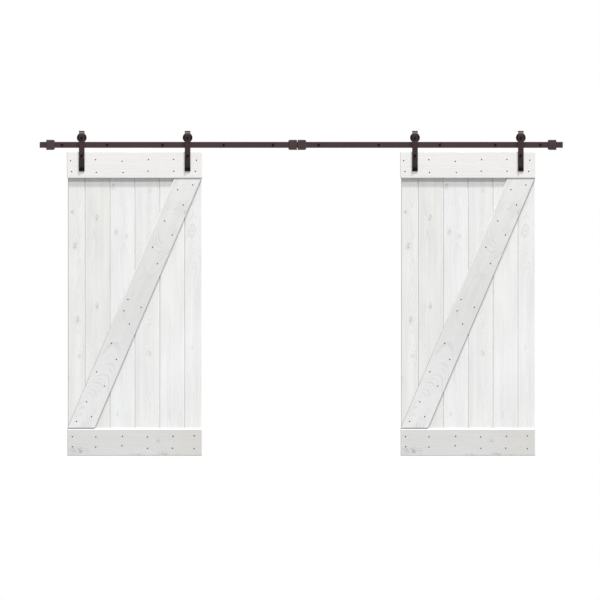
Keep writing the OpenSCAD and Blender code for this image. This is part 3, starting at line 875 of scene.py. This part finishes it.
@dataclass(frozen=True)
class BufferRubber:
    """Moulded brown-black rubber with a dull, slightly chalky skin."""

    colour: Colour = (66, 54, 55)
    chalk: Colour = (88, 77, 76)

    CLOUD: ClassVar[Mottle] = even(70.0, 4.0, 0.6)
    SKIN: ClassVar[Mottle] = even(750.0)
    SKIN_DEPTH: ClassVar[float] = 0.0001
    GLOSS: ClassVar[float] = 0.25

    def material(self, name: str) -> bpy.types.Material:
        """Makes the finish.

        Args:
            name: The material's name.

        Returns:
            The material.
        """
        graph = NodeGraph(name)
        point = graph.place()
        cloud, skin = graph.mottle(point, self.CLOUD), graph.mottle(point, self.SKIN)
        chalky = graph.times(graph.step(cloud, 0.42, 0.75), 0.4)
        colour = graph.mixed(chalky, linear(self.colour), linear(self.chalk))
        roughness = graph.weighted(0.72, (cloud, 0.2))
        return graph.finished(colour, roughness, graph.relief(skin, self.SKIN_DEPTH), self.GLOSS)


@dataclass(frozen=True)
class TurnedSteel:
    """Bright turned steel rings with a black seal between them, where the piece has one."""

    colour: Colour = (176, 174, 170)
    stain: Colour = (120, 112, 102)
    seal: Colour = (30, 29, 29)
    seal_inner: float = 0.0
    seal_outer: float = 0.0

    CLOUD: ClassVar[Mottle] = even(190.0, 4.0, 0.6)
    TURNING: ClassVar[float] = 16000.0
    SEAL_EDGE: ClassVar[float] = 0.0001
    TURNING_DEPTH: ClassVar[float] = 0.00002

    def material(self, name: str, centre: Vector) -> bpy.types.Material:
        """Makes the finish for one ring.

        Args:
            name: The material's name.
            centre: A point on the ring's axis.

        Returns:
            The material.
        """
        graph = NodeGraph(name)
        point = graph.board_place(centre, 0.0)
        x, y, z = graph.parts(point)
        radius = graph.distance(x, z)
        turning = graph.math("SINE", graph.times(graph.total(radius, y), self.TURNING))
        cloud = graph.mottle(point, self.CLOUD)
        stained = graph.times(graph.step(cloud, 0.45, 0.8), 0.5)
        colour = graph.mixed(stained, linear(self.colour), linear(self.stain))
        roughness = graph.weighted(0.26, (turning, 0.05), (cloud, 0.12))
        metal: Value = 1.0
        if self.seal_outer:
            sealed = graph.times(graph.step(radius, self.seal_inner, self.seal_inner + self.SEAL_EDGE),
                                 graph.step(radius, self.seal_outer, self.seal_outer - self.SEAL_EDGE))
            colour = graph.mixed(sealed, colour, linear(self.seal))
            roughness = graph.weighted(roughness, (sealed, 0.3))
            metal = graph.math("SUBTRACT", 1.0, sealed)
        return graph.finished(colour, roughness, graph.relief(turning, self.TURNING_DEPTH), metal=metal)


def dress(node: str, material: bpy.types.Material) -> None:
    """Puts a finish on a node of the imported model.

    Args:
        node: The node's name.
        material: The finish.
    """
    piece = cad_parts[node]
    piece.data.materials.clear()
    piece.data.materials.append(material)
    LOG.info("dressed %s with %s", node, material.name)


def middle_of(node: str) -> Vector:
    """Gives the middle of a node's box at rest."""
    low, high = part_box(node)
    return (low + high) / 2


def fastener_seats(node: str, reach: float) -> list[tuple[Vector, Vector]]:
    """Finds the box of each fastener in a node that holds several, all driven along Y.

    Args:
        node: The node's name.
        reach: A length more than a fastener's width and less than the gap between two.

    Returns:
        Lowest and highest corner of each fastener, from the left.
    """
    groups: list[list[Vector]] = []
    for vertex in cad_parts[node].data.vertices:
        for group in groups:
            if abs(group[0].x - vertex.co.x) < reach and abs(group[0].z - vertex.co.z) < reach:
                group.append(vertex.co)
                break
        else:
            groups.append([vertex.co])
    boxes = []
    for group in groups:
        low, high = (Vector([pick(c[i] for c in group) for i in range(3)]) for pick in (min, max))
        boxes.append((low, high))
    return sorted(boxes, key=lambda box: (round(box[0].x, 4), box[0].z))


def bridge(mesh: bmesh.types.BMesh, first: Ring, second: Ring) -> None:
    """Joins two rings of as many points with faces.

    Args:
        mesh: The mesh that holds them.
        first: One ring.
        second: The other ring.
    """
    for i in range(len(first)):
        j = (i + 1) % len(first)
        mesh.faces.new((first[i], first[j], second[j], second[i]))


def new_piece(name: str, mesh: bmesh.types.BMesh, material: bpy.types.Material,
              smooth_below: float) -> bpy.types.Object:
    """Makes a piece from a mesh in work.

    Args:
        name: The piece's name.
        mesh: The mesh, which is used up.
        material: Its finish.
        smooth_below: Edges that turn less than this many degrees are shaded smooth.

    Returns:
        The piece.
    """
    bmesh.ops.recalc_face_normals(mesh, faces=mesh.faces)
    for face in mesh.faces:
        face.smooth = True
    for edge in mesh.edges:
        edge.smooth = len(edge.link_faces) == 2 and edge.calc_face_angle(0.0) < math.radians(smooth_below)
    data = bpy.data.meshes.new(name)
    mesh.to_mesh(data)
    mesh.free()
    data.materials.append(material)
    piece = bpy.data.objects.new(name, data)
    bpy.context.scene.collection.objects.link(piece)
    LOG.info("built %s with %d faces", name, len(data.polygons))
    return piece


@dataclass
class CrossScrew:
    """Flat-headed wood screw with a cross recess, its head flush at the origin, its point to the wall."""

    head: float = 0.0045
    cone: float = 0.0028
    shank: float = 0.002
    length: float = 0.032
    point: float = 0.006
    arm: float = 0.0024
    arm_half: float = 0.00048
    recess: float = 0.0017
    recess_floor: float = 0.55
    recess_lean: float = 0.6
    sides: int = 24

    def ring(self, mesh: bmesh.types.BMesh, radius: float, depth: float) -> Ring:
        """Adds a ring of points round the screw's axis."""
        turns = [2 * math.pi * i / self.sides for i in range(self.sides)]
        return [mesh.verts.new((radius * math.cos(t), depth, radius * math.sin(t))) for t in turns]

    def cross(self, mesh: bmesh.types.BMesh, scale: float, depth: float) -> Ring:
        """Adds the outline of the cross recess.

        Args:
            mesh: The screw's mesh.
            scale: Its size, in shares of the opening.
            depth: How deep it lies in the head.

        Returns:
            Its points, in order.
        """
        arm, half = self.arm * scale, self.arm_half * (1 - self.recess_lean + self.recess_lean * scale)
        quarter = [(arm, -half), (arm, half), (half, half)]
        outline = []
        for turn in range(4):
            c, s = math.cos(turn * math.pi / 2), math.sin(turn * math.pi / 2)
            outline += [(c * x - s * z, s * x + c * z) for x, z in quarter]
        return [mesh.verts.new((x, depth, z)) for x, z in outline]

    def build(self) -> bmesh.types.BMesh:
        """Builds one screw.

        Returns:
            Its mesh.
        """
        mesh = bmesh.new()
        rim = self.ring(mesh, self.head, 0.0)
        outline = self.cross(mesh, 1.0, 0.0)
        edges = []
        for loop in (rim, outline):
            edges += [mesh.edges.new(pair) for pair in zip(loop, loop[1:] + loop[:1])]
        bmesh.ops.triangle_fill(mesh, edges=edges, use_beauty=True, normal=(0.0, -1.0, 0.0))
        floor = self.cross(mesh, self.recess_floor, self.recess)
        bridge(mesh, outline, floor)
        mesh.faces.new(floor)
        rings = [rim]
        for radius, depth in ((self.shank, self.cone), (self.shank, self.length - self.point)):
            rings.append(self.ring(mesh, radius, depth))
            bridge(mesh, rings[-2], rings[-1])
        tip = mesh.verts.new((0.0, self.length, 0.0))
        for i in range(self.sides):
            mesh.faces.new((rings[-1][i], rings[-1][(i + 1) % self.sides], tip))
        return mesh


@dataclass
class WoodThread:
    """Raised coarse thread of a lag bolt, from the wall face to its point.

    Its foot and crest reach so many shares of the pitch to either side, and its root sinks into the bolt.
    """

    core: float = 0.0034
    crest: float = 0.004
    pitch: float = 0.0036
    start: float = 0.003
    straight_end: float = 0.05
    tip: float = 0.0555
    sink: float = 0.0001
    least: float = 0.0003
    foot_share: float = 0.34
    crest_share: float = 0.06
    steps: int = 20

    def build(self, mesh: bmesh.types.BMesh, seat: Vector) -> None:
        """Winds the thread round one bolt.

        Args:
            mesh: The mesh that gets the thread.
            seat: Where the bolt's axis meets the wall face.
        """
        turns = (self.tip - self.start) / self.pitch
        count = int(turns * self.steps)
        foot, flat = self.foot_share * self.pitch, self.crest_share * self.pitch
        rows = []
        for i in range(count + 1):
            depth = self.start + (self.tip - self.start) * i / count
            angle = 2 * math.pi * i / self.steps
            taper = min(1.0, (self.tip - depth) / (self.tip - self.straight_end))
            lead = min(1.0, 2 * i / self.steps) * min(1.0, 2 * (count - i) / self.steps)
            base = max(self.core * taper - self.sink, self.least)
            ridge = base + self.sink + (self.crest - self.core) * lead
            spots = ((base, depth - foot), (ridge, depth - flat), (ridge, depth + flat), (base, depth + foot))
            places = [Vector((r * math.cos(angle), y, r * math.sin(angle))) for r, y in spots]
            rows.append([mesh.verts.new(seat + place) for place in places])
        for first, second in zip(rows, rows[1:]):
            bridge(mesh, first, second)
        mesh.faces.new(rows[0])
        mesh.faces.new(rows[-1])


@dataclass
class WallRail:
    """The fixed rail: two bars on spacer tubes, its lag bolts and its four stops."""

    top: float = 0.021
    bolt_reach: float = 0.03
    thread_smooth: float = 25.0
    bars: tuple[str, ...] = ("rail_bar_left", "rail_bar_right")
    stops: tuple[str, ...] = ("end_stop_left", "centre_stop_left", "centre_stop_right", "end_stop_right")

    def dress_bars(self) -> None:
        """Coats the bars, with the wheels' track rubbed along their upper edge."""
        coat = CoatedSteel(track=self.top).material("bronze_coat_rail")
        for node in self.bars:
            dress(node, coat)

    def dress_stops(self) -> None:
        """Coats the stops and finishes their buffers and grub screws."""
        coat = CoatedSteel(colour=(64, 48, 50), rub=0.5).material("bronze_coat_stops")
        for node in self.stops:
            dress(node, coat)
        dress("stop_buffers", BufferRubber().material("buffer_rubber"))
        dress("stop_set_screws", BlackedSteel().material("black_oxide_grub_screws"))

    def dress_fixings(self) -> None:
        """Coats the spacer tubes and blackens the lag bolts and their washers."""
        dress("wall_standoffs", CoatedSteel(colour=(52, 38, 39), rub=0.5).material("bronze_coat_fixings"))
        dress("lag_washers", BlackedSteel(colour=BlackedSteel.BROWN).material("brown_oxide_lag_washers"))
        dress("lag_bolts", BlackedSteel().material("black_oxide_lag_bolts"))

    def build_threads(self) -> None:
        """Winds the wood threads on the lag bolts behind the wall face."""
        thread = WoodThread()
        mesh = bmesh.new()
        for low, high in fastener_seats("lag_bolts", self.bolt_reach):
            middle = (low + high) / 2
            thread.build(mesh, Vector((middle.x, 0.0, middle.z)))
        finish = BlackedSteel().material("black_oxide_lag_threads")
        piece = new_piece("lag_bolt_threads", mesh, finish, self.thread_smooth)
        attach(piece, "rail")

    def build(self) -> None:
        """Dresses and builds the whole rail."""
        self.dress_bars()
        self.dress_stops()
        self.dress_fixings()
        self.build_threads()


PINE: dict[str, tuple[Run, WhitewashedPine]] = {
    "plank_1": (Run.UPRIGHT, WhitewashedPine(
        (235, 235, 233), 1.3, heart_across=0.02, heart_depth=0.06, knots=(
            Knot(-0.4357, -0.4706, 0.007, 1.2), Knot(-0.4181, -0.709, 0.009, 2.0),
            Knot(-0.4001, -1.2281, 0.01, 2.4, 0.4), Knot(-0.3852, -1.4773, 0.008, 1.3, 0.4),
            Knot(-0.463, -1.6378, 0.007, 2.0, 0.35)))),
    "plank_2": (Run.UPRIGHT, WhitewashedPine(
        (233, 233, 231), 2.7, heart_across=-0.03, heart_depth=0.045, knots=(
            Knot(-0.2639, -0.5092, 0.008, 2.0), Knot(-0.2639, -1.1296, 0.008, 2.3)))),
    "plank_3": (Run.UPRIGHT, WhitewashedPine(
        (237, 238, 238), 3.9, heart_across=0.01, heart_depth=0.07, knots=(
            Knot(-0.1483, -0.2919, 0.014, 1.15, 0.4), Knot(-0.1307, -0.6109, 0.009, 1.9, 0.4),
            Knot(-0.0571, -0.6424, 0.008, 1.4, 0.3), Knot(-0.1237, -1.8831, 0.009, 1.6, 0.3)))),
    "plank_4": (Run.UPRIGHT, WhitewashedPine(
        (235, 235, 235), 5.2, heart_across=0.015, heart_depth=0.035, patches=0.2, knots=(
            Knot(0.1104, -0.3185, 0.012, 1.1, 0.2), Knot(0.105, -1.2616, 0.008, 1.6, 0.2),
            Knot(0.105, -1.4629, 0.009, 1.8, 0.3)))),
    "plank_5": (Run.UPRIGHT, WhitewashedPine(
        (238, 238, 238), 6.4, heart_across=-0.01, heart_depth=0.04, patches=0.2)),
    "plank_6": (Run.UPRIGHT, WhitewashedPine(
        (239, 239, 239), 7.7, heart_across=0.005, heart_depth=0.04, figure=0.16, grain=0.13, knots=(
            Knot(0.4, -0.638, 0.008, 1.5, 0.25), Knot(0.4, -1.42, 0.008, 1.4, 0.25)))),
    # The header's darker first edge is painted shade that offsets the strong light on its top bevel.
    "header_board": (Run.LEVEL, WhitewashedPine(
        (238, 237, 236), 8.5, heart_across=0.02, heart_depth=0.08, grain=0.03, patches=0.04, bands=0.02,
        first_edge=(200, 199, 197), last_edge=(236, 235, 233))),
    # On the brace, the white first edge and the highlight edge are painted highlight. The grey lower first
    # edge, the dark last edge, the shaded edge and the line below its top end are painted shade and shadow.
    "brace_board": (Run.LEANING, WhitewashedPine(
        (233, 233, 233), 9.1, heart_across=-0.012, heart_depth=0.19, heart_rise=0.0, figure=0.16, arch=0.2,
        ring_width=0.009, grain=0.2, patches=0.09, bands=0.04, dip=0.105, shaded_edge=0.35, end_shadow=-0.2326,
        painted_highlight_edge=0.0075, edge_width=0.0025, first_edge=(250, 250, 250), first_edge_low=(140, 139, 137),
        last_edge=(190, 189, 188), knots=(Knot(0.3637, -0.4732, 0.012, 1.2, 0.3),))),
    "foot_board": (Run.LEVEL, WhitewashedPine(
        (218, 218, 218), 10.6, heart_across=0.03, heart_depth=0.05, grain=0.04, patches=0.04, bands=0.02,
        warm=(212, 209, 203), warm_end=2.5, soil=0.35, first_edge=(226, 226, 225),
        last_edge=(190, 188, 185), knots=(Knot(0.1672, -2.0759, 0.01, 1.2, 0.3),),
        smudges=(Knot(-0.4, -2.143, 0.021, 2.6, 0.75), Knot(0.0165, -2.173, 0.008, 4.0, 0.7),
                 Knot(0.199, -2.17, 0.01, 3.2, 0.9)))),
}


@dataclass
class BarnDoor:
    """One hanging door: its boards and screws, its two strap hangers and their wheels."""

    side: Side
    place: float = 1.168
    # Heights where the straps' painted shade and painted highlight change.
    strap_top: float = -0.06
    strap_low: float = -0.165
    strap_cap: float = 0.0935
    brace_half: float = 0.08875
    screw_reach: float = 0.012
    screw_smooth: float = 40.0
    seal_inner: float = 0.00765
    seal_outer: float = 0.0124
    turn_seed: int = 7
    ends: tuple[str, ...] = ("outer", "inner")

    @property
    def body(self) -> str:
        """Gives the name of the door's own moving body."""
        return f"{self.side.value}_door"

    @property
    def middle_x(self) -> float:
        """Gives the door's middle line along the rail."""
        return self.place if self.side is Side.RIGHT else -self.place

    def node(self, name: str) -> str:
        """Gives the full name of one of the door's nodes."""
        return f"{self.side.value}_{name}"

    def dress_boards(self) -> None:
        """Whitewashes each board by its own place in the log."""
        for name, (run, finish) in PINE.items():
            node = self.node(name)
            low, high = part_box(node)
            centre = (low + high) / 2
            lean = math.radians(run.value)
            back = Euler((0.0, lean, 0.0)).to_matrix().inverted()
            knots = [self.in_board(knot, centre, back) for knot in finish.knots]
            smudges = [self.in_board(smudge, centre, back) for smudge in finish.smudges]
            half = self.brace_half if run is Run.LEANING else min(high.x - low.x, high.z - low.z) / 2
            dress(node, finish.material(f"whitewash_{node}", centre, lean, half, knots, smudges))

    def in_board(self, spot: Knot, centre: Vector, back: Matrix) -> Knot:
        """Turns a knot's or smudge's place into a board's own axes.

        Args:
            spot: The knot or smudge, placed on the door.
            centre: The board's centre.
            back: The turn from the shared frame to the board's axes.

        Returns:
            The same spot, with its place across and along the board.
        """
        place = back @ (Vector((self.middle_x + spot.x, centre.y, spot.z)) - centre)
        return replace(spot, x=place.x, z=place.z)

    def build_screws(self) -> None:
        """Drives the cross-headed screws, each turned as it was left."""
        turns = random.Random(self.turn_seed)
        node = self.node("board_screws")
        single = CrossScrew().build()
        template = bpy.data.meshes.new("cross_screw")
        single.to_mesh(template)
        single.free()
        mesh = bmesh.new()
        for low, high in fastener_seats(node, self.screw_reach):
            middle = (low + high) / 2
            turn = Matrix.Rotation(turns.uniform(0.0, math.pi), 4, "Y")
            copy = template.copy()
            copy.transform(Matrix.Translation((middle.x, low.y, middle.z)) @ turn)
            mesh.from_mesh(copy)
            bpy.data.meshes.remove(copy)
        bpy.data.meshes.remove(template)
        finish = BlackedSteel().material(f"black_oxide_{node}")
        piece = new_piece(f"{node}_driven", mesh, finish, self.screw_smooth)
        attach(piece, self.body)
        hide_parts(node)

    def dress_hangers(self) -> None:
        """Coats the straps and blackens their bolts, nuts and washers."""
        # The strap coat paints shade and a highlight by height.
        coat = CoatedSteel(colour=(64, 51, 51), patina=(57, 45, 46), roughness=0.3, gloss=0.1,
                           fade_top=self.strap_top, fade_low=self.strap_low, cap=self.strap_cap)
        strap_finish = coat.material(f"bronze_coat_{self.side.value}_straps")
        for end in self.ends:
            dress(self.node(f"{end}_strap"), strap_finish)
        black = BlackedSteel().material(f"black_oxide_{self.side.value}_bolts")
        for name in ("strap_bolts", "strap_nuts", "strap_washers"):
            dress(self.node(name), black)
        brown = BlackedSteel(colour=BlackedSteel.BROWN).material(f"brown_oxide_{self.side.value}_axles")
        for name in ("axle_bolts", "axle_nuts"):
            dress(self.node(name), brown)

    def dress_wheels(self) -> None:
        """Finishes the wheels, their bearings and the axle spacers."""
        ring = TurnedSteel(seal_inner=self.seal_inner, seal_outer=self.seal_outer)
        for end in self.ends:
            wheel, bearing = self.node(f"{end}_wheel"), self.node(f"{end}_bearing")
            dress(wheel, MouldedNylon().material(f"black_nylon_{wheel}", middle_of(wheel)))
            dress(bearing, ring.material(f"turned_steel_{bearing}", middle_of(bearing)))
        spacers = self.node("axle_spacers")
        dress(spacers, TurnedSteel().material(f"turned_steel_{spacers}", middle_of(spacers)))

    def build(self) -> None:
        """Dresses and builds the whole door."""
        self.dress_boards()
        self.build_screws()
        self.dress_hangers()
        self.dress_wheels()


@dataclass(frozen=True)
class SoftLamp:
    """A distant lamp: its strength, and in degrees its height, its turn to the right and its spread."""

    name: str
    strength: float
    elevation: float
    azimuth: float
    spread: float

    def build(self) -> None:
        """Hangs the lamp."""
        lamp = bpy.data.lights.new(self.name, "SUN")
        lamp.energy = self.strength
        lamp.angle = math.radians(self.spread)
        holder = bpy.data.objects.new(self.name, lamp)
        holder.rotation_euler = (math.radians(90.0 - self.elevation), 0.0, math.radians(self.azimuth))
        bpy.context.scene.collection.objects.link(holder)


@dataclass
class Studio:
    """Pale floor, soft light from above and a level camera square to the doors."""

    view_x: float = -0.0089
    view_z: float = -1.0875
    view_width: float = 4.206
    view_distance: float = 9.0
    view_end: float = 100.0
    floor_z: float = -2.19
    floor_half: float = 40.0
    floor_lighting: Colour = (120, 120, 120)
    floor_seen: Colour = (178, 178, 177)
    floor_roughness: float = 0.9
    fill: float = 0.425
    lamps: tuple[SoftLamp, ...] = (
        SoftLamp("soft_front", 1.79, 57.0, 12.0, 6.0),
        SoftLamp("soft_side", 3.4, 62.7, 56.0, 4.5),
        SoftLamp("soft_back", 1.0, 35.0, 155.0, 60.0),
    )

    def add_camera(self) -> None:
        """Sets the camera that sees both doors square on."""
        lens = bpy.data.cameras.new("square_on")
        lens.type = "ORTHO"
        lens.ortho_scale = self.view_width
        lens.clip_end = self.view_end
        camera = bpy.data.objects.new("square_on", lens)
        camera.location = (self.view_x, -self.view_distance, self.view_z)
        camera.rotation_euler = (math.pi / 2, 0.0, 0.0)
        bpy.context.scene.collection.objects.link(camera)
        bpy.context.scene.camera = camera

    def add_floor(self) -> None:
        """Lays the pale floor just below the doors."""
        data = bpy.data.meshes.new("floor")
        h, z = self.floor_half, self.floor_z
        data.from_pydata([(-h, -h, z), (h, -h, z), (h, h, z), (-h, h, z)], [], [(0, 1, 2, 3)])
        floor = bpy.data.objects.new("floor", data)
        bpy.context.scene.collection.objects.link(floor)
        graph = NodeGraph("pale_floor")
        seen = self.seen_rays(graph.nodes, graph.links)
        graph.surface("Base Color", graph.mixed(seen, linear(self.floor_lighting), linear(self.floor_seen)))
        graph.surface("Roughness", self.floor_roughness)
        data.materials.append(graph.material)

    def seen_rays(self, nodes: bpy.types.Nodes, links: bpy.types.NodeLinks) -> Socket:
        """Tells rays that show a surface from rays that only light others.

        Args:
            nodes: The node tree's nodes.
            links: The node tree's links.

        Returns:
            1 for camera, glossy and transmission rays, and 0 for others.
        """
        path = nodes.new("ShaderNodeLightPath")
        seen = path.outputs["Is Camera Ray"]
        for name in ("Is Glossy Ray", "Is Transmission Ray"):
            either = nodes.new("ShaderNodeMath")
            either.operation = "MAXIMUM"
            links.new(seen, either.inputs[0])
            links.new(path.outputs[name], either.inputs[1])
            seen = either.outputs[0]
        return seen

    def add_world(self) -> None:
        """Makes the white surround and its fill light."""
        world = bpy.data.worlds.new("white_surround")
        world.use_nodes = True
        nodes, links = world.node_tree.nodes, world.node_tree.links
        nodes.clear()
        seen, fill = nodes.new("ShaderNodeBackground"), nodes.new("ShaderNodeBackground")
        seen.inputs["Color"].default_value = WHITE
        fill.inputs["Color"].default_value = WHITE
        seen.inputs["Strength"].default_value = 1.0
        fill.inputs["Strength"].default_value = self.fill
        mix, output = nodes.new("ShaderNodeMixShader"), nodes.new("ShaderNodeOutputWorld")
        links.new(self.seen_rays(nodes, links), mix.inputs[0])
        links.new(fill.outputs[0], mix.inputs[1])
        links.new(seen.outputs[0], mix.inputs[2])
        links.new(mix.outputs[0], output.inputs["Surface"])
        bpy.context.scene.world = world

    def build(self) -> None:
        """Sets up the whole studio."""
        bpy.context.scene.view_settings.view_transform = "Standard"
        self.add_camera()
        for lamp in self.lamps:
            lamp.build()
        self.add_floor()
        self.add_world()
        LOG.info("set the studio")


def main() -> None:
    """Builds the studio, the rail and both doors, and reports each piece."""
    logging.basicConfig(level=logging.INFO, format="%(message)s")
    Studio().build()
    WallRail().build()
    for side in Side:
        BarnDoor(side).build()


if __name__ == "__main__":
    main()
